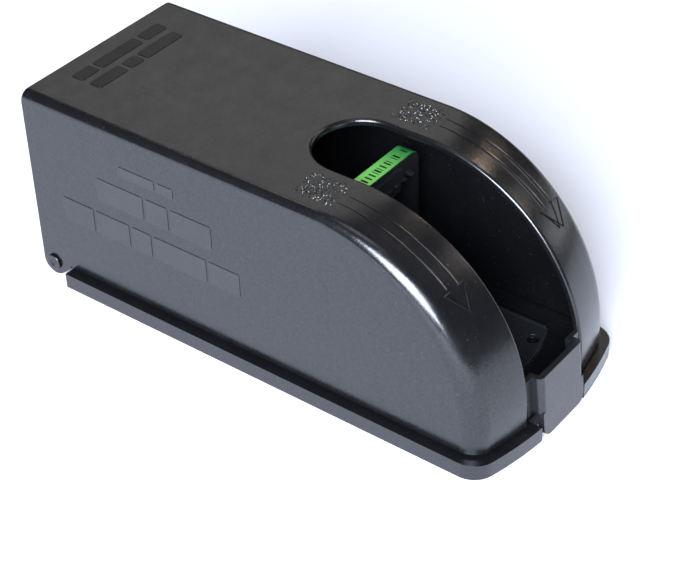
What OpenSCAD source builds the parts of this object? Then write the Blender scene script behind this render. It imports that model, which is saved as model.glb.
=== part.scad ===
// Covered snap-trap mouse station: a low base tray, a hinged cover with an
// arched nose and an open slot, and a pivoting-jaw trap fixed inside.
// X is the width, Y the length with the entrance nose towards -Y, Z is up.

/* [Overall size] */
// Width of the base across its flange
overall_w = 76.2; // [75.6:0.1:78]
// Length from the flange nose to the back wall
overall_l = 177.8; // [177:0.1:180]
// Height of the cover above the ground
overall_h = 69.0; // [68.4:0.1:71]

/* [Cover] */
// Wall thickness of the cover
cover_wall = 2.0; // [1.8:0.05:2.1]
// Radius of the arched nose in side view
nose_arc_r = 57.6; // [57.2:0.1:58]
// Width of the open slot between the two lobes
slot_w = 28.4; // [27.6:0.1:29]
// Distance of the slot's rounded end from the middle of the station, front side
slot_end_y = -1.4; // [-3:0.1:0]
// Edge rounding of the cover along its flat top
top_edge_r = 3.0; // [2.6:0.1:3.4]
// Edge rounding of the cover down the nose corners
nose_edge_r = 5.6; // [5:0.1:6]

/* [Base] */
// Height of the base flange
flange_h = 5.3; // [5:0.1:5.6]
// Width of the ledge left visible outside the cover
ledge_w = 3.0; // [2.8:0.1:3.2]
// Thickness of the base floor
floor_t = 2.0; // [1.8:0.1:2.2]
// Diameter of the four fixing holes in the floor
fixing_hole_d = 4.2; // [3.8:0.1:4.4]
// Spacing of the fixing holes across the width
fixing_pitch_x = 46.6; // [46:0.1:47.2]
// Spacing of the fixing holes along the length
fixing_pitch_y = 123.0; // [122:0.5:124]

/* [Trap] */
// Outer width of the upper jaw
jaw_w = 51.0; // [50.4:0.1:51.4]
// Diameter of the jaw axle
axle_d = 3.0; // [2.8:0.1:3.2]
// Wire thickness of the torsion springs
spring_wire = 1.3; // [1.1:0.1:1.4]
// Outer diameter of the bait cup
cup_d = 15.0; // [14:0.2:15.6]

/* [Hidden] */
$fn = 48;

half_w = overall_w / 2;
half_l = overall_l / 2;
// plan bow of the nose: the front edges curve back towards the sides
bow_r = 121.7;
flange_cy = -half_l + bow_r;
corner_r = 8;
tray_rear_y = 76.8;
cover_hw = half_w - ledge_w;
cover_z0 = flange_h + 1.1;
// centre of the nose arc in side view
arc_y = -half_l + 2.2 + nose_arc_r;
arc_z = overall_h - nose_arc_r;
slot_hw = slot_w / 2;
slot_cy = slot_end_y - slot_hw;
// cover hinge
hinge_y = half_l - 4.6;
hinge_z = 5.4;
lobe_r = 4.6;
hinge_pin_r = 1.2;
arm_r = 2.2;
arm_x0 = 28.6;
arm_y0 = 71;
// floor plate
plate_t = 1.2;
plate_hw = 30.6;
plate_rear_y = 69.3;
plate_z = floor_t + plate_t;
ridge_w = 0.9;
ridge_h = 0.6;
ridge_y0 = -63.5;
// trap
axle_y = -13;
axle_z = 12;
axle_r = axle_d / 2;
hub_r = 3.4;
jaw_hw = jaw_w / 2;
trap_floor_t = 2.0;
trap_z = plate_z + trap_floor_t;
pedal_y = -23.4;
pedal_z = 8.4;
pedal_pin_r = 1.0;
cup_y = -36;
cup_r = cup_d / 2;
coil_r = 4.6;

function bow(x) = x * x / (2 * bow_r);

// 2D children in (y, z), extruded from x0 to x1
module along_x(x0, x1) {
  translate([x0, 0, 0])
    rotate([90, 0, 90])
      linear_extrude(x1 - x0)
        children();
}

module xcyl(x0, x1, r, y = 0, z = 0) {
  translate([x0, y, z])
    rotate([0, 90, 0])
      cylinder(r = r, h = x1 - x0);
}

module block(x0, x1, y0, y1, z0, z1) {
  translate([x0, y0, z0])
    cube([x1 - x0, y1 - y0, z1 - z0]);
}

module both_sides() {
  children();
  mirror([1, 0, 0])
    children();
}

// ---------- cover loft: side profiles swept across the width ----------
edge_steps = [0, 0.08, 0.35, 0.8, 1.4, 2.2, 3.2, 4.4, 6];
mid_steps = 8;
arc_steps = 26;

function edge_r(a, r_top, r_nose) = r_top + (r_nose - r_top) * pow(sin(a), 1.5);
function inset(x, hw, r) =
  let (d = max(0, abs(x) - (hw - r)))
  r - sqrt(max(0, r * r - d * d));
function loft_x(hw) =
  let (inner = hw - edge_steps[8])
  concat(
    [for (i = [0 : 8]) -hw + edge_steps[i]],
    [for (i = [1 : mid_steps - 1]) -inner + 2 * inner * i / mid_steps],
    [for (i = [8 : -1 : 0]) hw - edge_steps[i]]
  );
// one side profile at x, pulled in by off from the outer skin
function loft_ring(x, hw, off, z0, rt, rn) =
  let (
    et = inset(x, hw, rt),
    en = inset(x, hw, rn),
    rr = 1.2,
    yr = half_l - off,
    zt = overall_h - off - et,
    ra = nose_arc_r - off
  )
  concat(
    [[x, yr, z0]],
    [for (a = [0 : 30 : 90]) [x, yr - rr + rr * cos(a), zt - rr + rr * sin(a)]],
    [for (i = [0 : arc_steps])
      let (a = 90 * i / arc_steps, e = inset(x, hw, edge_r(a, rt, rn)))
      [x, arc_y + bow(x) - (ra - e) * sin(a), arc_z + (ra - e) * cos(a)]],
    [[x, arc_y + bow(x) - (ra - en), z0]]
  );

module cover_loft(hw, off, z0, rt, rn) {
  xs = loft_x(hw);
  rings = [for (x = xs) loft_ring(x, hw, off, z0, rt, rn)];
  m = len(rings[0]);
  n = len(xs);
  polyhedron(
    points = [for (r = rings) each r],
    faces = concat(
      [[for (j = [0 : m - 1]) j]],
      [[for (j = [m - 1 : -1 : 0]) (n - 1) * m + j]],
      [for (i = [0 : n - 2], j = [0 : m - 1])
        [i * m + j, (i + 1) * m + j, (i + 1) * m + (j + 1) % m]],
      [for (i = [0 : n - 2], j = [0 : m - 1])
        [i * m + j, (i + 1) * m + (j + 1) % m, i * m + (j + 1) % m]]
    )
  );
}

// plan outline of the slot, run out past the nose
module slot_plan(grow) {
  translate([0, slot_cy])
    circle(r = slot_hw + grow);
  translate([-slot_hw - grow, -half_l - 20])
    square([2 * (slot_hw + grow), half_l + 20 + slot_cy]);
}

// rounded hinge lobes and the foot of the back wall, run forward to the tray's end
lobe_tip_y = 77.2;
lobe_tip_z = 5.3;
lobe_reach = norm([hinge_y - lobe_tip_y, hinge_z - lobe_tip_z]);
lobe_tan_a = 180 + atan2(hinge_z - lobe_tip_z, hinge_y - lobe_tip_y) + acos(lobe_r / lobe_reach);
module hinge_lobe_profile() {
  translate([hinge_y, hinge_z])
    circle(r = lobe_r);
  translate([hinge_y - lobe_r, hinge_z])
    square([2 * lobe_r, cover_z0 + 1 - hinge_z]);
  polygon([
    [lobe_tip_y, lobe_tip_z],
    [hinge_y + lobe_r * cos(lobe_tan_a), hinge_z + lobe_r * sin(lobe_tan_a)],
    [hinge_y, hinge_z],
    [hinge_y, cover_z0 + 1],
    [lobe_tip_y, cover_z0 + 1]
  ]);
}

lug_t = 1.2;
lug_y0 = -48;
lug_z0 = 41;
module cover_shell() {
  color("#2b2c2f") {
    difference() {
      union() {
        difference() {
          cover_loft(cover_hw, 0, cover_z0, top_edge_r, nose_edge_r);
          cover_loft(cover_hw - cover_wall, cover_wall, cover_z0 - 1, top_edge_r - 1, nose_edge_r - 1.6);
        }
        both_sides()
          along_x(cover_hw - cover_wall, cover_hw)
            hinge_lobe_profile();
        along_x(-cover_hw, cover_hw)
          intersection() {
            hinge_lobe_profile();
            translate([half_l - cover_wall, 0])
              square([cover_wall, 20]);
          }
        // short stiffening lugs on the inside of the side walls
        both_sides()
          translate([cover_hw - cover_wall - lug_t, lug_y0, lug_z0])
            cube([lug_t + 0.2, 6, 4]);
      }
      translate([0, 0, cover_z0 - 2])
        linear_extrude(overall_h)
          slot_plan(0);
      both_sides()
        xcyl(cover_hw - cover_wall - 1, cover_hw + 1, hinge_pin_r + 0.05, hinge_y, hinge_z);
    }
  }
}

// bridge across the foot of the slot with a tab that drops into the notch
bridge_top_z = 22.2;
bridge_hw = 11.3;
bridge_lean = 5.4;
module front_bridge() {
  color("#33353a")
    translate([0, -half_l, 0.8])
      rotate([-bridge_lean, 0, 0])
        translate([0, 0, -0.8]) {
          // front plate and its two returns
          translate([0, 0, 9.6])
            linear_extrude(bridge_top_z - 9.6)
              difference() {
                union() {
                  for (sx = [-1, 1])
                    translate([sx * (bridge_hw - 2), 2])
                      circle(r = 2);
                  translate([-bridge_hw + 2, 0])
                    square([2 * bridge_hw - 4, 2]);
                  translate([-bridge_hw, 2])
                    square([2 * bridge_hw, 2.9]);
                }
                translate([-bridge_hw + 1.8, 2])
                  square([2 * bridge_hw - 3.6, 4]);
              }
          // lower tab with rounded bottom corners
          rotate([90, 0, 0])
            translate([0, 0, -2])
              linear_extrude(2) {
                for (sx = [-1, 1])
                  translate([sx * (bridge_hw - 0.4 - 3.5), 0.8 + 3.5])
                    circle(r = 3.5);
                translate([-bridge_hw + 3.9, 0.8])
                  square([2 * bridge_hw - 7.8, 4]);
                translate([-bridge_hw + 0.4, 4.3])
                  square([2 * bridge_hw - 0.8, 5.4]);
              }
          // recessed webs out to the lobes
          both_sides()
            block(bridge_hw - 1, slot_hw, 3.3, 4.9, 9.6, bridge_top_z);
        }
}

module grip_patches() {
  color("#26272a")
    both_sides() {
      block(17.6, 30, -27.2, -12.4, overall_h, overall_h + 0.12);
      for (i = [0 : 6], j = [0 : 7])
        translate([
          18.6 + 1.72 * i + 0.4 * sin(97 * i + 61 * j),
          -26.2 + 1.82 * j + 0.4 * cos(53 * i + 131 * j),
          overall_h
        ])
          cylinder(r = 0.42, h = 0.3);
    }
}

arrow_x = 24.4;
arrow_w = 2.1;
line_w = 0.32;
line_h = 0.12;
// how deep the raised lines are rooted in the cover
mark_root = 0.2;
head_a = 46;
module arc_line(x, a0, a1) {
  yc = arc_y + bow(x);
  translate([x - line_w / 2, yc, arc_z])
    rotate([0, 90, 0])
      rotate([0, 0, 180 + a0])
        rotate_extrude(angle = a1 - a0, $fn = 120)
          translate([nose_arc_r - mark_root, 0])
            square([line_h + mark_root, line_w]);
}
module arrow_marks() {
  color("#3a3b3f")
    both_sides() {
      for (s = [-1, 1])
        arc_line(arrow_x + s * arrow_w, 1.2, 41.5);
      // arrow head outline lying on the arc
      for (s = [-1, 1])
        translate([arrow_x, arc_y + bow(arrow_x), arc_z])
          rotate([head_a, 0, 0])
            translate([s * 2.3, 0, nose_arc_r + line_h / 2 - mark_root / 2])
              rotate([0, 0, -s * 30])
                cube([line_w, 9, line_h + mark_root], center = true);
      for (s = [-1, 1])
        translate([arrow_x + s * 3.3, arc_y + bow(arrow_x), arc_z])
          rotate([head_a - 3.9, 0, 0])
            translate([0, 0, nose_arc_r + line_h / 2 - mark_root / 2])
              cube([2.6, line_w, line_h + mark_root], center = true);
    }
}

// plain raised tiles where the station carries its markings
mark_h = 0.18;
tile_gap = 1.0;
module tile(w, h) {
  r = 0.8;
  for (u = [r, w - r], v = [r, h - r])
    translate([u, v])
      circle(r = r, $fn = 24);
  translate([r, 0])
    square([w - 2 * r, h]);
  translate([0, r])
    square([w, h - 2 * r]);
}
// start of tile i in a row of given widths
function tile_at(widths, i) = i == 0 ? 0 : tile_at(widths, i - 1) + widths[i - 1] + tile_gap;
module tile_row(y0, z0, h, widths) {
  for (i = [0 : len(widths) - 1])
    along_x(cover_hw, cover_hw + mark_h)
      translate([y0 + tile_at(widths, i), z0])
        tile(widths[i], h);
}
module side_marks() {
  color("#3c4048")
    both_sides() {
      tile_row(28, 52.4, 3.6, [6.5, 14.5]);
      tile_row(14, 39.6, 8.4, [16, 9, 19]);
      tile_row(4, 26.4, 8.4, [12, 21, 8, 14, 13]);
    }
}
module top_marks() {
  color("#333437")
    for (row = [[69.2, [13, 6, 17]], [76.8, [8, 19, 9.8]]])
      for (i = [0 : 2])
        translate([-19.8 + tile_at(row[1], i) * 1.04, row[0], overall_h])
          linear_extrude(mark_h)
            tile(row[1][i], 4.8);
}

// ---------- base ----------
// plan of the nose: bowed front with rounded corners, pulled in by off
module base_plan(off) {
  hw = half_w - off;
  cr = corner_r - off;
  br = bow_r - off;
  cx = hw - cr;
  cy = flange_cy - sqrt((br - cr) * (br - cr) - cx * cx);
  k = 1.2;
  intersection() {
    translate([0, flange_cy])
      circle(r = br, $fn = 360);
    polygon([
      [0, flange_cy],
      [-k * cx, flange_cy + k * (cy - flange_cy)],
      [k * cx, flange_cy + k * (cy - flange_cy)]
    ]);
  }
  for (sx = [-1, 1])
    translate([sx * cx, cy])
      circle(r = cr);
  translate([-hw, cy])
    square([2 * hw, tray_rear_y - off - cy]);
}

module fixing_holes(z0, z1) {
  for (sx = [-1, 1], sy = [-1, 1])
    translate([sx * fixing_pitch_x / 2, sy * fixing_pitch_y / 2 - 1.5, z0])
      cylinder(r = fixing_hole_d / 2, h = z1 - z0);
}

rim_x = cover_hw - cover_wall - 0.5;
rim_t = 1.6;
rim_top = 8.7;
// thin skin left under each fixing hole until a screw is driven through
knockout_t = 0.5;
module base_tray() {
  color("#2f3136") {
    difference() {
      union() {
        // flange block hollowed from above
        difference() {
          linear_extrude(flange_h)
            base_plan(0);
          translate([0, 0, floor_t])
            linear_extrude(flange_h)
              base_plan(half_w - rim_x + rim_t);
        }
        // locating rim that stands inside the cover
        difference() {
          translate([0, 0, floor_t - 0.5])
            linear_extrude(rim_top - floor_t + 0.5)
              base_plan(half_w - rim_x);
          translate([0, 0, floor_t - 1])
            linear_extrude(12)
              base_plan(half_w - rim_x + rim_t);
        }
        // arms that carry the hinge pins
        both_sides()
          along_x(arm_x0, rim_x) {
            translate([hinge_y, hinge_z])
              circle(r = arm_r);
            translate([arm_y0, hinge_z - arm_r])
              square([hinge_y - arm_y0, 2 * arm_r]);
          }
      }
      both_sides()
        xcyl(arm_x0 - 1, cover_hw, hinge_pin_r, hinge_y, hinge_z);
      // notch for the tab of the bridge
      block(-bridge_hw - 0.4, bridge_hw + 0.4, -half_l - 1, -half_l + 5.4, -1, 12);
      fixing_holes(knockout_t, floor_t + 1);
    }
  }
}

module floor_plate() {
  color("#303237") {
    difference() {
      translate([0, 0, floor_t])
        linear_extrude(plate_t)
          intersection() {
            translate([0, flange_cy])
              circle(r = bow_r - 20, $fn = 360);
            translate([-plate_hw, -80])
              square([2 * plate_hw, 80 + plate_rear_y]);
          }
      fixing_holes(floor_t - 1, plate_z + 1);
    }
    // low ridge along each side edge
    both_sides()
      block(plate_hw - ridge_w, plate_hw, ridge_y0, -ridge_y0, plate_z - 0.1, plate_z + ridge_h);
  }
}

module hinge_pins() {
  color("#2b2c2f")
    both_sides()
      difference() {
        union() {
          xcyl(arm_x0, cover_hw + 0.2, hinge_pin_r, hinge_y, hinge_z);
          xcyl(cover_hw + 0.2, cover_hw + 0.9, 2.8, hinge_y, hinge_z);
        }
        translate([cover_hw + 3.0, hinge_y, hinge_z])
          sphere(r = 2.6);
      }
}

// ---------- trap ----------
base_hw = 25.9;
ear_x0 = base_hw;
ear_x1 = 28.3;
trap_front_y = -52.4;
trap_rear_y = 28;
screw_points = [[-19, 4], [19, 4], [-19, 22], [19, 22]];
module trap_base() {
  color("#232427")
    difference() {
      union() {
        block(-ear_x1, ear_x1, -24, trap_rear_y, plate_z, trap_z);
        block(-24, 24, trap_front_y, -23, plate_z, trap_z);
        // low side rails and the lower jaw
        both_sides()
          block(20.4, 22, trap_front_y, -24, plate_z, 8);
        block(-22, 22, trap_front_y, trap_front_y + 2, plate_z, 8.2);
        for (i = [-6 : 6])
          translate([i * 3.3, trap_front_y, 8.2])
            rotate([90, 0, 180])
              linear_extrude(2)
                  polygon([[-1.3, -0.5], [1.3, -0.5], [0, 1.4]]);
        // ears for the axle
        both_sides()
          along_x(ear_x0, ear_x1) {
            translate([axle_y, axle_z])
              circle(r = 4);
            translate([axle_y - 6, plate_z])
              polygon([[-1, 0], [13, 0], [9.8, 9.9], [2.2, 9.9]]);
          }
        // bosses for the pedal pin
        both_sides()
          along_x(17.8, 20.4) {
            translate([pedal_y, pedal_z])
              circle(r = 2);
            translate([pedal_y - 2, plate_z])
              square([4, pedal_z - plate_z]);
          }
        // rear stiffening wall
        block(-ear_x1, ear_x1, trap_rear_y - 1.6, trap_rear_y, plate_z, 8);
      }
      both_sides()
        xcyl(base_hw - 1, ear_x1 + 1, axle_r, axle_y, axle_z);
      both_sides()
        xcyl(17, 20.6, pedal_pin_r, pedal_y, pedal_z);
      translate([0, cup_y, plate_z - 1])
        cylinder(r = cup_r + 2.4, h = 6);
      for (p = screw_points)
        translate([p[0], p[1], plate_z - 1])
          cylinder(r = 1.4, h = 6);
    }
}

module trap_screws() {
  color("#8b8f94")
    for (p = screw_points)
      translate([p[0], p[1], 0])
        difference() {
          union() {
            translate([0, 0, plate_z])
              cylinder(r = 1.4, h = trap_floor_t);
            translate([0, 0, trap_z])
              cylinder(r = 2.8, h = 1.5);
          }
          translate([-2, -0.4, trap_z + 0.8])
            cube([4, 0.8, 2]);
          translate([-0.4, -2, trap_z + 0.8])
            cube([0.8, 4, 2]);
        }
}

module jaw_axle() {
  color("#9aa0a6")
    xcyl(-ear_x1 - 1.2, ear_x1 + 1.2, axle_r, axle_y, axle_z);
}

module axle_caps() {
  color("#7d8288")
    both_sides()
      difference() {
        xcyl(ear_x1, ear_x1 + 1.0, 3.2, axle_y, axle_z);
        xcyl(ear_x1 - 1, ear_x1 + 2, axle_r, axle_y, axle_z);
      }
}

module pedal_pin() {
  color("#9aa0a6")
    xcyl(-20.4, 20.4, pedal_pin_r, pedal_y, pedal_z);
}

leg_t = 3;
tooth_z = 51;
// outer corner radius of the jaw bar
bar_r = 3.5;
bar_z0 = 49;
bar_z1 = 55.4;
bar_y0 = -18.4;
bar_y1 = -12.2;
module upper_jaw() {
  color("#1f2023")
    difference() {
      union() {
        xcyl(-jaw_hw, jaw_hw, hub_r, axle_y, axle_z);
        // two legs and the arched bar
        rotate([90, 0, 0])
          translate([0, 0, -bar_y1])
            linear_extrude(bar_y1 - bar_y0)
              difference() {
                union() {
                  translate([-jaw_hw, axle_z])
                    square([2 * jaw_hw, bar_z1 - bar_r - axle_z]);
                  translate([-jaw_hw + bar_r, bar_z1 - bar_r - 1])
                    square([2 * (jaw_hw - bar_r), bar_r + 1]);
                  for (sx = [-1, 1])
                    translate([sx * (jaw_hw - bar_r), bar_z1 - bar_r])
                      circle(r = bar_r);
                }
                translate([-jaw_hw + leg_t, axle_z - 1])
                  square([2 * (jaw_hw - leg_t), bar_z0 - 4 - axle_z + 1]);
                translate([-jaw_hw + leg_t + 4, axle_z - 1])
                  square([2 * (jaw_hw - leg_t - 4), bar_z0 - axle_z + 1]);
                for (sx = [-1, 1])
                  translate([sx * (jaw_hw - leg_t - 4), bar_z0 - 4])
                    circle(r = 4);
              }
        // centre pad on the front of the bar, with sloping ends
        rotate([90, 0, 0])
          translate([0, 0, -bar_y0])
            linear_extrude(1.5)
              polygon([[-13.6, 46.6], [13.6, 46.6], [15.6, 54], [-15.6, 54]]);
        rotate([90, 0, 0])
          translate([0, 0, -bar_y0 - 2])
            linear_extrude(2)
              polygon([[-13.6, 46.6], [13.6, 46.6], [14.2, 49.5], [-14.2, 49.5]]);
        // biting teeth along the lower front edge of the bar
        for (i = [-5 : 5])
          translate([i * 3.9, bar_y0 + 0.5, tooth_z])
            rotate([0, -90, 0])
              translate([0, 0, -0.9])
                linear_extrude(1.8)
                  polygon([[0, 0], [-1.8, 0], [-0.9, -2.9]]);
        // setting lever behind the hub
        block(-11, 11, axle_y, 19, 10.2, 12.6);
        block(-11, 11, 16.4, 19, 12.4, 14);
        for (i = [0 : 3])
          block(-9, 9, 6 + 2.4 * i, 7 + 2.4 * i, 12.4, 13.1);
        both_sides()
          along_x(9.4, 11)
            polygon([[axle_y, 12], [14, 12], [axle_y + 2.4, 15]]);
      }
      xcyl(-jaw_hw - 1, jaw_hw + 1, axle_r + 0.06, axle_y, axle_z);
    }
}

// film label stuck over the bar and turned down over its rounded corners
label_t = 0.25;
label_wrap = 48;
module jaw_label() {
  cx = jaw_hw - bar_r;
  cz = bar_z1 - bar_r;
  color("#4fc93a") {
    block(-cx, cx, bar_y0 + 0.3, bar_y1 - 0.3, bar_z1, bar_z1 + label_t);
    both_sides()
      translate([cx, bar_y1 - 0.3, cz])
        rotate([90, 0, 0])
          rotate([0, 0, 90 - label_wrap])
            label_sector(bar_y1 - bar_y0 - 0.6);
  }
}
// sector of the thin film round one bar corner, run for a length
module label_sector(run) {
  rotate_extrude(angle = label_wrap)
    translate([bar_r, 0])
      square([label_t, run]);
}

// close-wound coil with one leg on the trap floor and one behind the jaw leg
spring_x0 = 14.5;
spring_pitch = spring_wire + 0.12;
module torsion_spring() {
  turns = 4;
  for (i = [0 : turns - 1])
    translate([spring_x0 + i * spring_pitch, axle_y, axle_z])
      rotate([0, 90, 0])
        rotate_extrude()
          translate([coil_r, 0])
            circle(r = spring_wire / 2, $fn = 24);
  // tie between the turns
  xcyl(spring_x0, spring_x0 + (turns - 1) * spring_pitch, spring_wire / 2 - 0.1, axle_y + coil_r, axle_z);
  // leg up along the jaw
  translate([spring_x0 + (turns - 1) * spring_pitch, axle_y + coil_r, axle_z])
    cylinder(r = spring_wire / 2, h = 16, $fn = 24);
  // leg along the floor
  translate([spring_x0, axle_y, axle_z - coil_r])
    rotate([-90, 0, 0])
      cylinder(r = spring_wire / 2, h = 15, $fn = 24);
}
module jaw_spring_right() {
  color("#a9adb2")
    torsion_spring();
}
module jaw_spring_left() {
  color("#a9adb2")
    mirror([1, 0, 0])
      torsion_spring();
}

plate_front_y = -47.6;
sear_tip_y = axle_y - hub_r - 0.4;
module trigger_pedal() {
  color("#26272a")
    difference() {
      union() {
        translate([0, 0, pedal_z - 0.4])
          linear_extrude(1.4)
            difference() {
              translate([-16.4, plate_front_y])
                square([32.8, pedal_y - plate_front_y]);
              translate([0, cup_y])
                circle(r = cup_r + 0.4);
            }
        xcyl(-17.2, 17.2, 1.9, pedal_y, pedal_z);
        // sear post and the finger that reaches to the jaw hub
        block(-4, 4, pedal_y - 1, pedal_y + 0.9, pedal_z, 13.6);
        block(-4, 4, pedal_y, sear_tip_y, 11.8, 13.6);
        both_sides()
          along_x(2.8, 4)
            polygon([[pedal_y, 9], [pedal_y + 1.6, 9], [sear_tip_y - 1.5, 12], [pedal_y, 12]]);
        // ribbed edge the animal steps on
        for (i = [0 : 2])
          block(-13, 13, -47.2 + 0.8 * i, -46.8 + 0.8 * i, pedal_z + 0.9, pedal_z + 1.4);
      }
      xcyl(-18, 18, pedal_pin_r + 0.06, pedal_y, pedal_z);
    }
}

cup_z0 = 6.0;
cup_top = pedal_z + 1.0;
module bait_cup() {
  color("#3b3d42")
    difference() {
      union() {
        translate([0, cup_y, cup_z0])
          cylinder(r = cup_r, h = cup_top + 1.2 - cup_z0);
        translate([0, cup_y, cup_top + 0.05])
          cylinder(r = cup_r + 1.2, h = 1.15);
      }
      translate([0, cup_y, cup_z0 + 1.2])
        cylinder(r = cup_r - 1.2, h = 10);
    }
}

module bait_paste() {
  color("#8a6a3f")
    translate([0, cup_y, cup_z0 + 1.2])
      cylinder(r = cup_r - 1.2, h = 2.2);
}

base_tray();
floor_plate();
hinge_pins();
trap_base();
trap_screws();
jaw_axle();
axle_caps();
pedal_pin();
jaw_spring_left();
jaw_spring_right();
upper_jaw();
jaw_label();
trigger_pedal();
bait_cup();
bait_paste();
cover_shell();
front_bridge();
grip_patches();
arrow_marks();
side_marks();
top_marks();
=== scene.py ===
import math
import random

import bmesh
import bpy
from mathutils import Euler, Matrix, Vector


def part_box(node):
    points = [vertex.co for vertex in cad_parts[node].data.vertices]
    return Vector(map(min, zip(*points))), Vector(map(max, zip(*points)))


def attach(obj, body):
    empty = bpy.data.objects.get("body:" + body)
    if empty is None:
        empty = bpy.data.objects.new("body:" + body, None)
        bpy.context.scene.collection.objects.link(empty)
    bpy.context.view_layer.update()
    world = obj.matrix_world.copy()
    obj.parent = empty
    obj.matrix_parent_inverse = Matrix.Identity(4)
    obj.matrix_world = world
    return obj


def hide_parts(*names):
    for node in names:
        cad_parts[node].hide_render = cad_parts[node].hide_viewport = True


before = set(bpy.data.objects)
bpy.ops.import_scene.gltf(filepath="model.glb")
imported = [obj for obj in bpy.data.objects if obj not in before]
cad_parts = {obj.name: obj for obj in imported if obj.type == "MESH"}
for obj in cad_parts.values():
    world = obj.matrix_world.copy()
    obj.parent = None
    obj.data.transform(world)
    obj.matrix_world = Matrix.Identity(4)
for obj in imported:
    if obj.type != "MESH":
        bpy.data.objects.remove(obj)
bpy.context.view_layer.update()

scene = bpy.context.scene
MM = 0.001

# ---------------------------------------------------------------- shader helpers


def new_material(name):
    """A new material, its node tree, its shader and the piece's own coordinates."""
    mat = bpy.data.materials.new(name)
    mat.use_nodes = True
    tree = mat.node_tree
    coords = tree.nodes.new("ShaderNodeTexCoord").outputs["Object"]
    return mat, tree, tree.nodes["Principled BSDF"], coords


def noise(tree, coords, kind, stretch=None):
    """Noise of a kind, which is (scale per metre, detail, roughness)."""
    scale, detail, rough = kind
    if stretch is not None:
        mapping = tree.nodes.new("ShaderNodeMapping")
        mapping.inputs["Scale"].default_value = stretch
        tree.links.new(coords, mapping.inputs["Vector"])
        coords = mapping.outputs["Vector"]
    tex = tree.nodes.new("ShaderNodeTexNoise")
    tex.inputs["Scale"].default_value = scale
    tex.inputs["Detail"].default_value = detail
    tex.inputs["Roughness"].default_value = rough
    tree.links.new(coords, tex.inputs["Vector"])
    return tex.outputs["Fac"]


def ramp(tree, value, low, high):
    """Colour that goes from low to high; each is (position, colour)."""
    node = tree.nodes.new("ShaderNodeValToRGB")
    for element, (position, colour) in zip(node.color_ramp.elements, (low, high)):
        element.position = position
        element.color = (*colour, 1)
    tree.links.new(value, node.inputs["Fac"])
    return node.outputs["Color"]


def span(tree, value, band, out=(0.0, 1.0)):
    """The value's band stretched over the range out, and held at its ends."""
    node = tree.nodes.new("ShaderNodeMapRange")
    node.inputs["From Min"].default_value, node.inputs["From Max"].default_value = band
    node.inputs["To Min"].default_value, node.inputs["To Max"].default_value = out
    tree.links.new(value, node.inputs["Value"])
    return node.outputs["Result"]


def combine(tree, operation, first, second):
    node = tree.nodes.new("ShaderNodeMath")
    node.operation = operation
    tree.links.new(first, node.inputs[0])
    tree.links.new(second, node.inputs[1])
    return node.outputs["Value"]


def cover_with(tree, factor, under, over):
    """The colour under, hidden by the plain colour over where the factor is 1."""
    node = tree.nodes.new("ShaderNodeMix")
    node.data_type = "RGBA"
    tree.links.new(factor, node.inputs["Factor"])
    tree.links.new(under, node.inputs["A"])
    node.inputs["B"].default_value = (*over, 1)
    return node.outputs["Result"]


def bump(tree, height, distance, normal=None):
    node = tree.nodes.new("ShaderNodeBump")
    node.inputs["Distance"].default_value = distance
    tree.links.new(height, node.inputs["Height"])
    if normal is not None:
        tree.links.new(normal, node.inputs["Normal"])
    return node.outputs["Normal"]


def scaled(colour, factor):
    return tuple(v * factor for v in colour)


# ---------------------------------------------------------------- plastic, film and steel
# Noises are (scale per metre, detail, roughness), bands are cuts through a noise of 0 to 1,
# and depths are metres.

CLOUD = (45, 4, 0.55)
WAVE = (60, 2, 0.4)
GLOSS = (130, 5, 0.6)
RIPPLE = (420, 3, 0.6)
SCUFF = (900, 2, 0.6)
SHEEN = (1500, 2, 0.7)
SPECK = (2100, 1, 0.5)
GRAIN_DETAIL = (2, 0.5)
CLOUD_BAND = (0.3, 0.7)
GLOSS_BAND = (0.3, 0.72)
SCUFF_BAND = (0.7, 0.76)
SHEEN_BAND = (0.35, 0.65)
SPECK_BAND = (0.74, 0.8)
CLOUD_DARK, CLOUD_LIGHT = 0.86, 1.14
SHEEN_LEVELS = (0.43, 0.57)
GLOSS_SPREAD = 0.05
SCUFF_STRETCH = (0.18, 1.0, 0.7)
WAVE_DEPTH = 0.00002
RIPPLE_DEPTH = 0.00003


def moulded(name, colour, rough, grain=0.0005, grain_depth=0.000018, scuffs=0.0, ior=1.6, dust=0.0):
    """Moulded plastic: fine grain, cloudy gloss, faint handling scuffs and dust."""
    mat, tree, shader, at = new_material(name)
    dark = (CLOUD_BAND[0], scaled(colour, CLOUD_DARK))
    light = (CLOUD_BAND[1], scaled(colour, CLOUD_LIGHT))
    base = ramp(tree, noise(tree, at, CLOUD), dark, light)
    if dust:
        specks = span(tree, noise(tree, at, SPECK), SPECK_BAND)
        base = cover_with(tree, specks, base, (dust, dust, dust))
    tree.links.new(base, shader.inputs["Base Color"])
    gloss = span(tree, noise(tree, at, GLOSS), GLOSS_BAND, (rough - GLOSS_SPREAD, rough + GLOSS_SPREAD))
    if scuffs:
        hair = span(tree, noise(tree, at, SCUFF, SCUFF_STRETCH), SCUFF_BAND, (0.0, scuffs))
        gloss = combine(tree, "ADD", gloss, hair)
    tree.links.new(gloss, shader.inputs["Roughness"])
    sheen = span(tree, noise(tree, at, SHEEN), SHEEN_BAND, SHEEN_LEVELS)
    tree.links.new(sheen, shader.inputs["Specular IOR Level"])
    relief = bump(tree, noise(tree, at, WAVE), WAVE_DEPTH)
    relief = bump(tree, noise(tree, at, RIPPLE), RIPPLE_DEPTH, relief)
    relief = bump(tree, noise(tree, at, (1 / grain, *GRAIN_DETAIL)), grain_depth, relief)
    tree.links.new(relief, shader.inputs["Normal"])
    shader.inputs["IOR"].default_value = ior
    return mat


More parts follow.
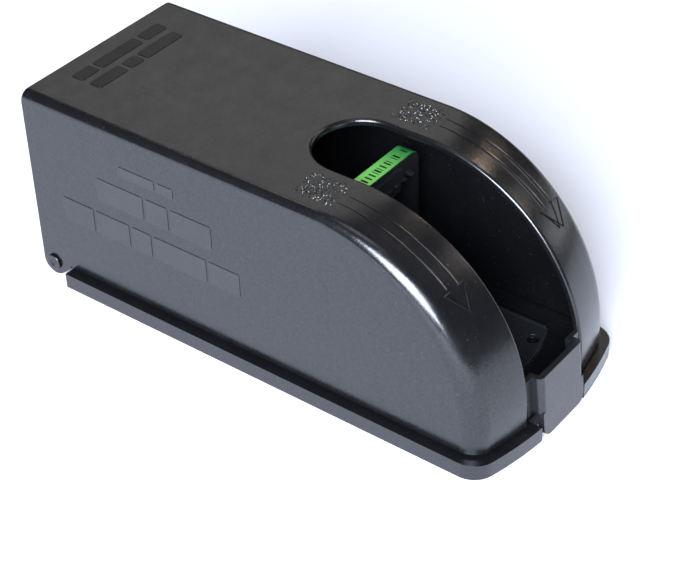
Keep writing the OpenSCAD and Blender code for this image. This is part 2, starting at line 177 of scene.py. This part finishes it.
label_lo, label_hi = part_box("jaw_label")
# painted shade: the span along X, in metres, over which the label's green goes from its lit colour to its
# shaded colour
FILM_SHADE_SPAN = (-0.002, 0.023)
FILM_BAND = (0.3, 0.7)
FILM_ROUGH = (0.36, 0.46)
FILM_PATCH = (500, 3, 0.5)
FILM_GRAIN = (1400, 2, 0.5)
FILM_GRAIN_DEPTH = 0.000004
INK_COLOUR = (0.006, 0.03, 0.008)
INK = (1050, 0, 0.0)
INK_BAND = (0.5, 0.54)
ALONG_X = (1.0, 0.0, 0.0)
INK_LOW = label_lo.y + 1.1 * MM
INK_HIGH = label_hi.y - 1.9 * MM
INK_SOFT = 0.1 * MM


def printed_film(name, lit_colour, shaded_colour):
    """Green film with painted shade that darkens it towards +X, and a band of plain dark strokes."""
    mat, tree, shader, at = new_material(name)
    axes = tree.nodes.new("ShaderNodeSeparateXYZ")
    tree.links.new(at, axes.inputs["Vector"])
    ground = ramp(tree, span(tree, axes.outputs["X"], FILM_SHADE_SPAN), (0.0, lit_colour), (1.0, shaded_colour))
    ink = span(tree, noise(tree, at, INK, ALONG_X), INK_BAND)
    for edge, soft in ((INK_LOW, INK_SOFT), (INK_HIGH, -INK_SOFT)):
        inside = span(tree, axes.outputs["Y"], (edge - soft, edge + soft))
        ink = combine(tree, "MULTIPLY", ink, inside)
    tree.links.new(cover_with(tree, ink, ground, INK_COLOUR), shader.inputs["Base Color"])
    gloss = span(tree, noise(tree, at, FILM_PATCH), FILM_BAND, FILM_ROUGH)
    tree.links.new(gloss, shader.inputs["Roughness"])
    relief = bump(tree, noise(tree, at, FILM_GRAIN), FILM_GRAIN_DEPTH)
    tree.links.new(relief, shader.inputs["Normal"])
    return mat


LINES = (2600, 3, 0.6)
LINE_BAND = (0.3, 0.7)
LINE_DEPTH = 0.000008
LINE_DARK, LINE_LIGHT = 0.8, 1.15
TARNISH = (300, 4, 0.6)
TARNISH_BAND = (0.3, 0.7)
TARNISH_BRIGHT, TARNISH_DULL = 0.08, 0.1


def steel(name, colour, rough, along):
    """Drawn or plated steel with fine lines along one direction."""
    mat, tree, shader, at = new_material(name)
    lines = noise(tree, at, LINES, along)
    dark = (LINE_BAND[0], scaled(colour, LINE_DARK))
    light = (LINE_BAND[1], scaled(colour, LINE_LIGHT))
    tree.links.new(ramp(tree, lines, dark, light), shader.inputs["Base Color"])
    tarnish = noise(tree, at, TARNISH)
    gloss = span(tree, tarnish, TARNISH_BAND, (rough - TARNISH_BRIGHT, rough + TARNISH_DULL))
    tree.links.new(gloss, shader.inputs["Roughness"])
    tree.links.new(bump(tree, lines, LINE_DEPTH), shader.inputs["Normal"])
    shader.inputs["Metallic"].default_value = 1.0
    return mat


# ---------------------------------------------------------------- mesh helpers

WELD = 0.004 * MM


def cos_sin(degrees):
    return math.cos(math.radians(degrees)), math.sin(math.radians(degrees))


def place(name, data):
    """A new object in the scene that holds the data."""
    obj = bpy.data.objects.new(name, data)
    scene.collection.objects.link(obj)
    return obj


def to_mesh(bm, name):
    mesh = bpy.data.meshes.new(name)
    bm.to_mesh(mesh)
    bm.free()
    return mesh


def dress(obj, mat):
    obj.data.materials.clear()
    obj.data.materials.append(mat)


def crisp(obj, sharp):
    """Smooth shading that keeps flat faces flat, and edges over the angle sharp."""
    obj.data.shade_smooth()
    obj.data.set_sharp_from_angle(angle=math.radians(sharp))
    flat = obj.modifiers.new("normals", "WEIGHTED_NORMAL")
    flat.keep_sharp = True
    flat.weight = 80


def apply_modifiers(obj):
    graph = bpy.context.evaluated_depsgraph_get()
    mesh = bpy.data.meshes.new_from_object(obj.evaluated_get(graph))
    obj.modifiers.clear()
    old = obj.data
    obj.data = mesh
    bpy.data.meshes.remove(old)
    mesh.name = obj.name


class Skin:
    """Collects quads and polygons in millimetres and welds them into one mesh."""

    def __init__(self):
        self.bm = bmesh.new()

    def vert(self, p):
        return self.bm.verts.new((p[0] * MM, p[1] * MM, p[2] * MM))

    def grid(self, rows, flip=False):
        made = [[self.vert(p) for p in row] for row in rows]
        for a, b in zip(made, made[1:]):
            for i in range(len(a) - 1):
                quad = (a[i], b[i], b[i + 1], a[i + 1])
                self.bm.faces.new(quad[::-1] if flip else quad)

    def polygon(self, points):
        self.bm.faces.new([self.vert(p) for p in points])

    def mirror_x(self):
        geom = self.bm.verts[:] + self.bm.edges[:] + self.bm.faces[:]
        copy = bmesh.ops.duplicate(self.bm, geom=geom)["geom"]
        for v in copy:
            if isinstance(v, bmesh.types.BMVert):
                v.co.x = -v.co.x
        bmesh.ops.reverse_faces(self.bm, faces=[f for f in copy if isinstance(f, bmesh.types.BMFace)])

    def object(self, name):
        bmesh.ops.remove_doubles(self.bm, verts=self.bm.verts[:], dist=WELD)
        bmesh.ops.dissolve_degenerate(self.bm, edges=self.bm.edges[:], dist=WELD / 2)
        return place(name, to_mesh(self.bm, name))


# ---------------------------------------------------------------- cover skin
# The +X half is drawn as strips of quads in millimetres and mirrored. Depth is counted
# inwards from the outer face.

shell_lo, shell_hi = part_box("cover_shell")
COVER_HW = shell_hi.x / MM
COVER_H = shell_hi.z / MM
REAR_Y = shell_hi.y / MM
COVER_Z0 = 6.4
WALL = 2.0
SKIN_GAP = 0.02
ARC_R = 57.6
ARC_Y = shell_lo.y / MM + ARC_R
ARC_Z = COVER_H - ARC_R
BOW_R = 121.7
SLOT_HW = 14.2
SLOT_CY = -15.6
RIM_R = 1.1
TOP_EDGE_R = 3.0
NOSE_EDGE_R = 5.6
NOSE_EDGE_GROWTH = 1.5
REAR_EDGE_R = 1.2
REAR_TOP_Y = REAR_Y - REAR_EDGE_R
LOBE_R = 4.6
HINGE_Y = REAR_Y - LOBE_R
HINGE_Z = 5.4
LOBE_TIP = (77.2, 5.3)
SHARP_DEG = 32

FLAT_STEPS = 4
ARC_STEPS = 64
SIDE_STEPS = 6
RIM_WALL_STEPS = 2
LOBE_TOP_STEPS = 8
RIM_STEP_DEG = 15
EDGE_STEP_DEG = 9
SLOT_STEP_DEG = 5
REAR_STEP_DEG = 18
LOBE_STEP_DEG = 10
LOBE_START_DEG = 120
NEAR_DEG = 0.5
NEAR = 0.05
TINY = 1e-6


def lobe_tangent():
    """Where the straight lower edge from the lobe's tip meets the lobe's round end."""
    dy, dz = LOBE_TIP[0] - HINGE_Y, LOBE_TIP[1] - HINGE_Z
    angle = math.atan2(dz, dy) + math.acos(LOBE_R / math.hypot(dy, dz))
    return HINGE_Y + LOBE_R * math.cos(angle), HINGE_Z + LOBE_R * math.sin(angle)


LOBE_TAN = lobe_tangent()
LOBE_TURNS = range(LOBE_START_DEG, -1, -LOBE_STEP_DEG)
LOBE_YS = [LOBE_TAN[0]] + [HINGE_Y + LOBE_R * cos_sin(angle)[0] for angle in LOBE_TURNS]
# rows across the flat rear top, which the side wall's columns hang from
REAR_YS = [SLOT_CY, -6.0, 4.0, 18.0, 34.0, 50.0, 65.0, LOBE_TIP[0] - 0.1, LOBE_TIP[0], 79.3]


def quarter(step):
    """Angles of a quarter turn in equal steps."""
    return range(0, 91, step)


def bow(x):
    """How far the nose falls back at x, seen from above."""
    return x * x / (2 * BOW_R)


def stations():
    """(kind, value) down the cover from the slot's round end to the foot of the nose."""
    out = [("flat", k / FLAT_STEPS) for k in range(FLAT_STEPS)]
    out += [("arc", 90 * k / ARC_STEPS) for k in range(ARC_STEPS + 1)]
    out += [("nose", ARC_Z + (COVER_Z0 - ARC_Z) * k / SIDE_STEPS) for k in range(1, SIDE_STEPS + 1)]
    return out


def edge_radius(kind, value):
    """Radius of the outer edge, which grows down the nose."""
    turned = cos_sin({"flat": 0.0, "nose": 90.0}.get(kind, value))[1]
    return TOP_EDGE_R + (NOSE_EDGE_R - TOP_EDGE_R) * turned ** NOSE_EDGE_GROWTH


def on_skin(kind, value, x, depth):
    """A point of the cover at x, pulled in by depth along the profile's normal."""
    if kind == "flat":
        y = SLOT_CY + (ARC_Y + bow(x) - SLOT_CY) * value
        return (x, y, COVER_H - depth)
    r = ARC_R - depth
    if kind == "nose":
        return (x, ARC_Y + bow(x) - r, value)
    c, s = cos_sin(value)
    return (x, ARC_Y + bow(x) - r * s, ARC_Z + r * c)


def rim_path():
    """(x past the slot's edge, depth) up the slot wall and round its rim."""
    path = [(0.0, WALL + (RIM_R - WALL) * k / RIM_WALL_STEPS) for k in range(RIM_WALL_STEPS)]
    for angle in quarter(RIM_STEP_DEG):
        c, s = cos_sin(angle)
        path.append((RIM_R - RIM_R * c, RIM_R - RIM_R * s))
    return path


def edge_path(r):
    """(x, depth) round the outer edge, from the top to the side wall."""
    path = []
    for angle in quarter(EDGE_STEP_DEG):
        c, s = cos_sin(angle)
        path.append((COVER_HW - r + r * s, r - r * c))
    return path


def lobe_row(kind, value):
    """One row across the cover, from the slot wall to the side wall."""
    row = [(SLOT_HW + dx, depth) for dx, depth in rim_path()]
    edge = edge_path(edge_radius(kind, value))
    x0, x1 = row[-1][0], edge[0][0]
    row += [(x0 + (x1 - x0) * k / LOBE_TOP_STEPS, 0.0) for k in range(1, LOBE_TOP_STEPS)]
    return [on_skin(kind, value, x, depth) for x, depth in row + edge]


def side_foot(y):
    """Height of the side wall's lower edge at y, round the hinge lobe."""
    if y < LOBE_TIP[0] - NEAR:
        return COVER_Z0
    if y < LOBE_TAN[0]:
        k = (y - LOBE_TIP[0]) / (LOBE_TAN[0] - LOBE_TIP[0])
        return LOBE_TIP[1] + (LOBE_TAN[1] - LOBE_TIP[1]) * k
    return HINGE_Z - math.sqrt(max(0.0, LOBE_R ** 2 - (y - HINGE_Y) ** 2))


def down(x, y, z_top, z_low):
    return [(x, y, z_top + (z_low - z_top) * k / SIDE_STEPS) for k in range(SIDE_STEPS + 1)]


def slot_end_rows():
    """The rim round the closed end of the slot, from its side to its middle."""
    rows = []
    for angle in quarter(SLOT_STEP_DEG):
        c, s = cos_sin(angle)
        out = [(SLOT_HW + dx, depth) for dx, depth in rim_path()]
        rows.append([(r * c, SLOT_CY + r * s, COVER_H - depth) for r, depth in out])
    return rows


def top_outline(first_row, slot_end, flat_ys):
    """The flat top behind the slot: round the slot's end, then along the outer edge."""
    inner, outer = slot_end[0][-1][0], COVER_HW - TOP_EDGE_R
    front = [p for p in first_row if inner - TINY <= p[0] <= outer + TINY]
    outline = [row[-1] for row in slot_end][::-1] + front[1:]
    outline += [(outer, y, COVER_H) for y in flat_ys[1:]]
    return outline + [(0.0, REAR_TOP_Y, COVER_H)]


def rear_turns():
    """Angles down the rounded rear edge, with one at each of the lobe's rows."""
    turns = set(quarter(REAR_STEP_DEG))
    for y in LOBE_YS:
        if y > REAR_TOP_Y + NEAR:
            turn = math.degrees(math.acos(min(1.0, (y - REAR_TOP_Y) / REAR_EDGE_R)))
            if turn > NEAR_DEG:
                turns.add(turn)
    return sorted(turns, reverse=True)


def rear_rows(edge):
    """The rounded rear edge, the rear wall and its foot."""
    columns = [(0.0, 0.0)] + edge
    wall_top = COVER_H - REAR_EDGE_R
    rows = []
    for turn in rear_turns():
        c, s = cos_sin(turn)
        y = REAR_TOP_Y + REAR_EDGE_R * c
        rows.append([(x, y, wall_top - depth + REAR_EDGE_R * s) for x, depth in columns])
    for k in range(1, SIDE_STEPS + 1):
        rows.append([down(x, REAR_Y, wall_top - depth, HINGE_Z)[k] for x, depth in columns])
    for y in LOBE_YS[-2::-1]:
        if y > REAR_Y - WALL + NEAR:
            rows.append([(x, y, side_foot(y)) for x, depth in columns])
    return rows


def make_cover():
    skin = Skin()
    places = stations()
    rows = [lobe_row(*station) for station in places]
    slot_end = slot_end_rows()
    edge = edge_path(TOP_EDGE_R)
    flat_ys = REAR_YS + [y for y in LOBE_YS if y < REAR_TOP_Y - NEAR] + [REAR_TOP_Y]
    back = rear_rows(edge)
    skin.grid(rows)
    skin.grid(slot_end, flip=True)
    skin.polygon(top_outline(rows[0], slot_end, flat_ys))
    skin.grid([[(x, y, COVER_H - depth) for x, depth in edge] for y in flat_ys], flip=True)
    skin.grid(back, flip=True)
    # the side wall hangs in columns from these points, from the nose to the back
    tops = [row[-1] for row, (kind, _) in zip(rows, places) if kind == "arc"][::-1]
    tops += [row[-1] for row, (kind, _) in zip(rows, places) if kind == "flat"][::-1]
    tops += [(COVER_HW, y, COVER_H - TOP_EDGE_R) for y in flat_ys[1:]]
    tops += [row[-1] for row in back[1:len(rear_turns())]]
    skin.grid([down(COVER_HW, y, z, side_foot(y)) for x, y, z in tops], flip=True)
    skin.mirror_x()
    obj = skin.object("cover_skin")
    wall = obj.modifiers.new("wall", "SOLIDIFY")
    wall.thickness = (WALL - SKIN_GAP) * MM
    wall.use_even_offset = True
    apply_modifiers(obj)
    crisp(obj, SHARP_DEG)
    return obj


cover = make_cover()
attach(cover, "cover")
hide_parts("cover_shell")

# ---------------------------------------------------------------- pieces with eased edges

EASE_OVER_DEG = 40
EASE_STEPS = 2
EASE_SHARP_DEG = 50
ONE_PLANE_DEG = 1.0
ONE_POINT = 0.002 * MM

# node: body, slot, width of the eased edge in millimetres
EASED = {
    "base_tray": ("base", "black_base", 0.45), "floor_plate": ("base", "black_base", 0.3),
    "front_bridge": ("cover", "black_shell", 0.4), "trap_base": ("base", "trap_black", 0.25),
    "upper_jaw": ("jaw", "trap_black", 0.4), "trigger_pedal": ("pedal", "trap_black", 0.2),
    "hinge_pins": ("base", "black_shell", 0.25), "side_marks": ("cover", "black_marks", 0.12),
    "top_marks": ("cover", "black_marks", 0.12), "bait_cup": ("cup", "grey_cup", 0.25),
    "trap_screws": ("base", "steel", 0.15), "axle_caps": ("base", "steel", 0.2),
}


def eased_copy(node, body, width):
    """A piece in the node's exact shape with its sharp edges slightly rounded."""
    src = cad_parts[node]
    bm = bmesh.new()
    bm.from_mesh(src.data)
    bmesh.ops.remove_doubles(bm, verts=bm.verts[:], dist=ONE_POINT)
    flat = math.radians(ONE_PLANE_DEG)
    bmesh.ops.dissolve_limit(bm, angle_limit=flat, verts=bm.verts[:], edges=bm.edges[:])
    bend = math.radians(EASE_OVER_DEG)
    keen = [e for e in bm.edges if len(e.link_faces) == 2 and e.calc_face_angle(0.0) > bend]
    bmesh.ops.bevel(bm, geom=keen, offset=width * MM, offset_type="OFFSET", segments=EASE_STEPS, profile=0.5,
                    affect="EDGES", clamp_overlap=True, material=-1)
    obj = place(node + "_eased", to_mesh(bm, node + "_eased"))
    obj.matrix_world = src.matrix_world
    crisp(obj, EASE_SHARP_DEG)
    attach(obj, body)
    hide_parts(node)
    return obj


eased = {}
for node_name, (body, slot, width) in EASED.items():
    eased[node_name] = eased_copy(node_name, body, width)

# ---------------------------------------------------------------- grip grains
# Raised grains scattered inside each of the two patch outlines, in millimetres.

GRIP_INNER_X = 17.6
GRIP_MARGIN = 0.3
GRIP_RAGGED = 0.03
GRAINS = 360
GRAIN_R = (0.12, 0.26)
GRAIN_STRETCH = (0.7, 1.2)
GRAIN_HEIGHT = (0.17, 0.28)
GRAIN_SUNK = -0.35
GRAIN_SEED = 41
FULL_TURN = 6.28


def add_grain(bm, rng, side, x, y, z_cap):
    """One squashed and tilted grain on the cover's skin at x, y."""
    r = rng.uniform(*GRAIN_R)
    height = rng.uniform(*GRAIN_HEIGHT)
    drop = max(0.0, ARC_Y + bow(x) - y) ** 2 / (2 * ARC_R)
    made = bmesh.ops.create_icosphere(bm, subdivisions=1, radius=1.0)["verts"]
    tip = Matrix.Rotation(rng.uniform(0, FULL_TURN), 3, "X")
    tilt = tip @ Matrix.Rotation(rng.uniform(0, FULL_TURN), 3, "Y")
    spin = Matrix.Rotation(rng.uniform(0, FULL_TURN), 3, "Z")
    rx = r * rng.uniform(*GRAIN_STRETCH)
    ry = r * rng.uniform(*GRAIN_STRETCH)
    for vert in made:
        q = tilt @ vert.co
        q = spin @ Vector((q.x * rx, q.y * ry, max(q.z, GRAIN_SUNK) * height))
        z = min(COVER_H - drop + q.z, z_cap)
        vert.co = Vector((side * (x + q.x), y + q.y, z)) * MM


def make_grip():
    rng = random.Random(GRAIN_SEED)
    lo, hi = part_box("grip_patches")
    x0, x1 = GRIP_INNER_X + GRIP_MARGIN, hi.x / MM - GRIP_MARGIN
    y0, y1 = lo.y / MM + GRIP_MARGIN, hi.y / MM - GRIP_MARGIN
    bm = bmesh.new()
    for side in (-1, 1):
        count = 0
        while count < GRAINS:
            u, v = rng.random(), rng.random()
            if min(u, 1 - u, v, 1 - v) >= GRIP_RAGGED * rng.random():
                add_grain(bm, rng, side, x0 + u * (x1 - x0), y0 + v * (y1 - y0), hi.z / MM)
                count += 1
    bmesh.ops.recalc_face_normals(bm, faces=bm.faces[:])
    return place("grip_grains", to_mesh(bm, "grip_grains"))


grip = make_grip()
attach(grip, "cover")
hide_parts("grip_patches")

# ---------------------------------------------------------------- looks

shell_black = moulded("shell_black", (0.0045, 0.0046, 0.005), 0.23, scuffs=0.08, dust=0.07)
base_black = moulded("base_black", (0.005, 0.0052, 0.0057), 0.28)
trap_black = moulded("trap_black", (0.004, 0.004, 0.0044), 0.34)
mark_black = moulded("mark_black", (0.013, 0.0132, 0.0136), 0.42, grain=0.0004, grain_depth=0.000012)
# painted light: the upper jaw gets the trap's black plastic lightened to stand in for light falling on it
upper_jaw_painted_light = moulded("upper_jaw_painted_light", (0.009, 0.0092, 0.01), 0.36)
cup_grey = moulded("cup_grey", (0.035, 0.036, 0.039), 0.4)
rough_black = moulded("rough_black", (0.0045, 0.0046, 0.005), 0.14, ior=2.0)
# painted light: the floor plate gets the black plastic lightened to stand in for light reaching it inside
# the station
floor_plate_painted_light = moulded("floor_plate_painted_light", (0.016, 0.0168, 0.019), 0.34)
bridge_black = moulded("bridge_black", (0.0075, 0.0079, 0.0088), 0.3, grain_depth=0.000014)
line_black = moulded("line_black", (0.006, 0.006, 0.0065), 0.2)
top_black = moulded("top_black", (0.004, 0.004, 0.0044), 0.36, grain=0.0004, grain_depth=0.00001, ior=1.48)
wire_steel = steel("wire_steel", (0.58, 0.59, 0.61), 0.3, (0.1, 1.0, 1.0))
screw_steel = steel("screw_steel", (0.5, 0.51, 0.53), 0.34, (1.0, 0.15, 1.0))
# painted shade: the label's green is lighter at its -X end and darker towards +X, as light falls on it
label_green = printed_film("label_green", (0.3, 0.82, 0.16), (0.012, 0.13, 0.03))
bait_tan = moulded("bait_tan", (0.34, 0.2, 0.09), 0.5, grain=0.0008, grain_depth=0.00008)

LOOKS = {
    "base_tray": base_black, "floor_plate": floor_plate_painted_light, "hinge_pins": shell_black,
    "trap_base": trap_black, "trap_screws": screw_steel, "jaw_axle": wire_steel,
    "axle_caps": screw_steel, "pedal_pin": wire_steel, "jaw_spring_left": wire_steel,
    "jaw_spring_right": wire_steel, "upper_jaw": upper_jaw_painted_light, "jaw_label": label_green,
    "trigger_pedal": trap_black, "bait_cup": cup_grey, "bait_paste": bait_tan,
    "front_bridge": bridge_black, "grip_patches": rough_black, "arrow_marks": line_black,
    "side_marks": mark_black, "top_marks": top_black, "cover_shell": shell_black,
}
for node_name, look in LOOKS.items():
    dress(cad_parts[node_name], look)
    if node_name in eased:
        dress(eased[node_name], look)
dress(cover, shell_black)
dress(grip, rough_black)

# ---------------------------------------------------------------- floor, light, camera
# metres and degrees from here on

scene.view_settings.view_transform = "Standard"
FLOOR_HALF = 2.2
FLOOR_SQUARES = 8
FLOOR_ROUGH = 0.9
FLOOR_TONE = (6, 3, 0.5)
FLOOR_BAND = (0.3, 0.7)
FLOOR_DIM = (0.86, 0.87, 0.89)
FLOOR_PALE = (0.89, 0.9, 0.92)
BACKDROP = (0.93, 0.94, 0.95, 1)
AMBIENT = (0.055, 0.057, 0.062, 1)
LIGHT_TARGET = Vector((0.0, 0.0, 0.03))


def make_floor():
    bm = bmesh.new()
    bmesh.ops.create_grid(bm, x_segments=FLOOR_SQUARES, y_segments=FLOOR_SQUARES, size=FLOOR_HALF)
    floor = place("floor", to_mesh(bm, "floor"))
    mat, tree, shader, at = new_material("floor_pale")
    tone = noise(tree, at, FLOOR_TONE)
    colour = ramp(tree, tone, (FLOOR_BAND[0], FLOOR_DIM), (FLOOR_BAND[1], FLOOR_PALE))
    tree.links.new(colour, shader.inputs["Base Color"])
    shader.inputs["Roughness"].default_value = FLOOR_ROUGH
    dress(floor, mat)


def aim(turn, rise):
    """Direction at an angle round from +X and above the floor."""
    (ct, st), (cr, sr) = cos_sin(turn), cos_sin(rise)
    return Vector((cr * ct, cr * st, sr)).normalized()


def card(name, turn, rise, distance, size, radiance, colour):
    """A soft rectangular light in a given direction from the object."""
    data = bpy.data.lights.new(name, "AREA")
    data.shape = "RECTANGLE"
    data.size, data.size_y = size
    data.energy = radiance * math.pi * size[0] * size[1]
    data.color = colour
    obj = place(name, data)
    toward = aim(turn, rise)
    obj.location = LIGHT_TARGET + toward * distance
    obj.rotation_euler = toward.to_track_quat("Z", "Y").to_euler()
    obj.visible_camera = False


def make_world():
    """A pale backdrop for the camera, and a dim one for everything else."""
    world = bpy.data.worlds.new("studio")
    scene.world = world
    world.use_nodes = True
    tree = world.node_tree
    dim = tree.nodes["Background"]
    dim.inputs["Color"].default_value = AMBIENT
    pale = tree.nodes.new("ShaderNodeBackground")
    pale.inputs["Color"].default_value = BACKDROP
    path = tree.nodes.new("ShaderNodeLightPath")
    mix = tree.nodes.new("ShaderNodeMixShader")
    tree.links.new(path.outputs["Is Camera Ray"], mix.inputs[0])
    tree.links.new(dim.outputs[0], mix.inputs[1])
    tree.links.new(pale.outputs[0], mix.inputs[2])
    tree.links.new(mix.outputs[0], tree.nodes["World Output"].inputs["Surface"])


make_floor()
make_world()
# name, turn, rise, distance, size, radiance, colour
card("key", -156, 30, 1.5, (1.0, 0.9), 29.0, (0.85, 0.93, 1.12))
card("sky", 0, 90, 1.6, (0.7, 0.7), 1.4, (0.95, 0.98, 1.05))
card("top_sheen", 38, 39, 1.6, (0.8, 0.75), 0.78, (1.0, 0.98, 0.93))
card("edge_glow", 66, 56, 1.6, (0.3, 0.14), 3.4, (1.0, 0.86, 0.7))
card("arc_sheen", -34, 36, 1.6, (0.55, 0.5), 1.5, (1.0, 0.94, 0.88))
card("arc_warm", -5, 45, 1.45, (0.2, 0.13), 13.0, (1.0, 0.78, 0.6))
card("arc_warm_low", -37, 34, 1.45, (0.16, 0.1), 10.0, (1.0, 0.76, 0.58))
card("far_wall", -22, 10, 1.8, (0.9, 0.4), 1.6, (0.95, 0.98, 1.05))

# the camera looks down on the -X side from beyond the nose
CAM_AT = Vector((-0.35623, -0.28619, 0.36314))
CAM_ANGLES = (52.4, 1.465, -52.96)
CAM_CLIP = (0.02, 20.0)
SENSOR_MM = 36.0
FOCAL_MM = 97.117
cam_data = bpy.data.cameras.new("camera")
cam_data.sensor_width = SENSOR_MM
cam_data.lens = FOCAL_MM
cam_data.clip_start, cam_data.clip_end = CAM_CLIP
cam = place("camera", cam_data)
cam_turn = Euler([math.radians(angle) for angle in CAM_ANGLES])
cam.matrix_world = Matrix.LocRotScale(CAM_AT, cam_turn, None)
scene.camera = cam
